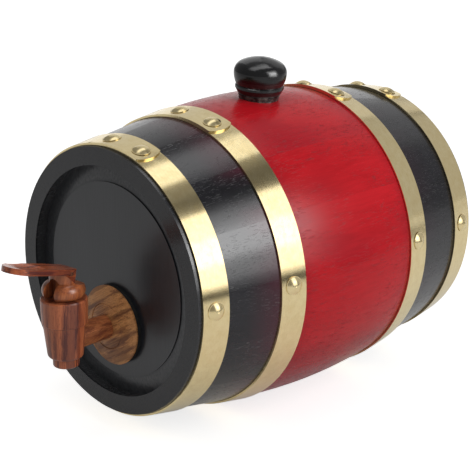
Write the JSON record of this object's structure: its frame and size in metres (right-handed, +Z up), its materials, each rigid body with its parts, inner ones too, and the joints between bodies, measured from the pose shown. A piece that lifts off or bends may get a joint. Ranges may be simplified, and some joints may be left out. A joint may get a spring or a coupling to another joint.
{
  "type": "wooden cask drink dispenser",
  "caption": "Small brass-hooped wooden cask on its side, with a lift-out bung and a turning wooden plug tap that dispenses drink from its front head.",
  "frame": {"origin": "the lowest point of the bilge, below the middle of the cask's length, where it touches a cradle or table", "axes": "+Z up, the cask's axis along Y with the tap toward -Y, +X to the right for someone facing the tap"},
  "size_m": [0.1688, 0.2789, 0.1908],
  "materials": {
    "stave_wood": "deep cherry-red stain under a glossy clear lacquer, long grain along each stave, darkened chimes",
    "head_wood": "black stain under satin lacquer, straight open grain",
    "hoop_brass": "rolled brass strip, lightly brushed, bright edges",
    "stud_brass": "domed brass heads, polished",
    "bung_wood": "turned hardwood, black gloss lacquer",
    "seal_rubber": "matt black rubber washer",
    "flange_wood": "striped light brown hardwood, satin oiled",
    "shank_wood": "turned hardwood, oiled, grain along the shank",
    "body_wood": "turned reddish hardwood, satin lacquer, upright grain",
    "key_wood": "turned reddish hardwood, satin lacquer, upright grain",
    "lever_wood": "reddish hardwood, glossy lacquer in the thumb rest, grain along its length",
    "dowel_wood": "dark end grain"
  },
  "bodies": {
    "cask": {"bung_stave": "stave_wood", "stave_02": "stave_wood", "stave_03": "stave_wood", "stave_04": "stave_wood", "stave_05": "stave_wood", "stave_06": "stave_wood", "stave_07": "stave_wood", "stave_08": "stave_wood", "stave_09": "stave_wood", "stave_10": "stave_wood", "stave_11": "stave_wood", "stave_12": "stave_wood", "stave_13": "stave_wood", "stave_14": "stave_wood", "stave_15": "stave_wood", "stave_16": "stave_wood", "front_head": "head_wood", "rear_head": "head_wood", "front_head_hoop": "hoop_brass", "front_quarter_hoop": "hoop_brass", "rear_quarter_hoop": "hoop_brass", "rear_head_hoop": "hoop_brass", "hoop_rivets": "stud_brass", "hoop_nails": "stud_brass", "tap_seal": "seal_rubber", "tap_flange": "flange_wood", "tap_shank": "shank_wood", "tap_body": "body_wood"},
    "bung": {"bung": "bung_wood"},
    "key": {"tap_key": "key_wood", "tap_lever": "lever_wood", "lever_dowel": "dowel_wood"}
  },
  "joints": [
    {"name": "bung_lift", "type": "slide", "parent": "cask", "child": "bung", "axis": [0.0767, 0, 0.9971], "range_m": [0, 0.045]},
    {"name": "key_turn", "type": "hinge", "parent": "cask", "child": "key", "pos_m": [0, -0.1342, 0.083], "axis": [0, 0, 1], "range_deg": [-146, 130]}
  ]
}
